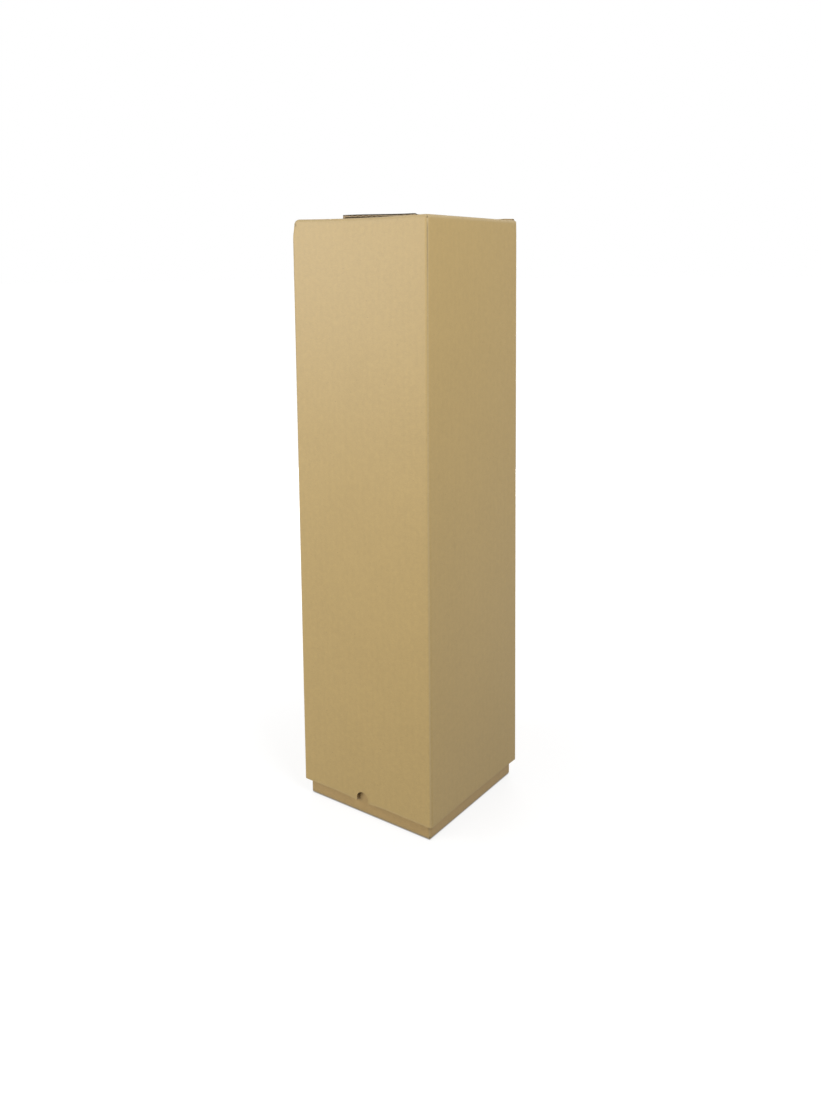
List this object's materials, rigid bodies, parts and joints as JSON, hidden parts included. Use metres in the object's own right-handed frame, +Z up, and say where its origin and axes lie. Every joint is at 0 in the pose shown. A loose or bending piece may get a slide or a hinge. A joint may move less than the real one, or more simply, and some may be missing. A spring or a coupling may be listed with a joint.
{
  "type": "telescopic carton",
  "caption": "Tall square telescopic carton of brown corrugated board: a long lid with a hinged tongue flap and a thumb notch slides down over a full-height base.",
  "frame": {"origin": "middle of the base's bottom face, on the surface that the carton stands on", "axes": "+Z up along the tubes, -Y out of the front wall with the thumb notch, +X out of the right wall"},
  "size_m": [0.15, 0.15, 0.5543],
  "materials": {
    "kraft_liner": "uncoated matte brown kraft liner",
    "fluted_medium": "uncoated matte brown fluting paper"
  },
  "bodies": {
    "base": {"base_front_wall_outer_liner": "kraft_liner", "base_front_wall_fluting": "fluted_medium", "base_front_wall_inner_liner": "kraft_liner", "base_right_wall_outer_liner": "kraft_liner", "base_right_wall_fluting": "fluted_medium", "base_right_wall_inner_liner": "kraft_liner", "base_back_wall_outer_liner": "kraft_liner", "base_back_wall_fluting": "fluted_medium", "base_back_wall_inner_liner": "kraft_liner", "base_left_wall_outer_liner": "kraft_liner", "base_left_wall_fluting": "fluted_medium", "base_left_wall_inner_liner": "kraft_liner", "base_front_flap_outer_liner": "kraft_liner", "base_front_flap_fluting": "fluted_medium", "base_front_flap_inner_liner": "kraft_liner", "base_right_flap_outer_liner": "kraft_liner", "base_right_flap_fluting": "fluted_medium", "base_right_flap_inner_liner": "kraft_liner", "base_back_flap_outer_liner": "kraft_liner", "base_back_flap_fluting": "fluted_medium", "base_back_flap_inner_liner": "kraft_liner", "base_left_flap_outer_liner": "kraft_liner", "base_left_flap_fluting": "fluted_medium", "base_left_flap_inner_liner": "kraft_liner", "base_glue_tab": "kraft_liner"},
    "lid": {"lid_front_wall_outer_liner": "kraft_liner", "lid_front_wall_fluting": "fluted_medium", "lid_front_wall_inner_liner": "kraft_liner", "lid_right_wall_outer_liner": "kraft_liner", "lid_right_wall_fluting": "fluted_medium", "lid_right_wall_inner_liner": "kraft_liner", "lid_back_wall_outer_liner": "kraft_liner", "lid_back_wall_fluting": "fluted_medium", "lid_back_wall_inner_liner": "kraft_liner", "lid_left_wall_outer_liner": "kraft_liner", "lid_left_wall_fluting": "fluted_medium", "lid_left_wall_inner_liner": "kraft_liner", "lid_front_flap_outer_liner": "kraft_liner", "lid_front_flap_fluting": "fluted_medium", "lid_front_flap_inner_liner": "kraft_liner", "lid_right_flap_outer_liner": "kraft_liner", "lid_right_flap_fluting": "fluted_medium", "lid_right_flap_inner_liner": "kraft_liner", "lid_left_flap_outer_liner": "kraft_liner", "lid_left_flap_fluting": "fluted_medium", "lid_left_flap_inner_liner": "kraft_liner", "lid_glue_tab": "kraft_liner"},
    "tongue_flap": {"tongue_flap_outer_liner": "kraft_liner", "tongue_flap_fluting": "fluted_medium", "tongue_flap_inner_liner": "kraft_liner"}
  },
  "joints": [
    {"name": "lid_lift", "type": "slide", "parent": "base", "child": "lid", "axis": [0, 0, 1], "range_m": [0, 0.55]},
    {"name": "tongue_flap_hinge", "type": "hinge", "parent": "lid", "child": "tongue_flap", "pos_m": [0, 0.0735, 0.5506], "axis": [-1, 0, 0], "range_deg": [0, 180]}
  ]
}
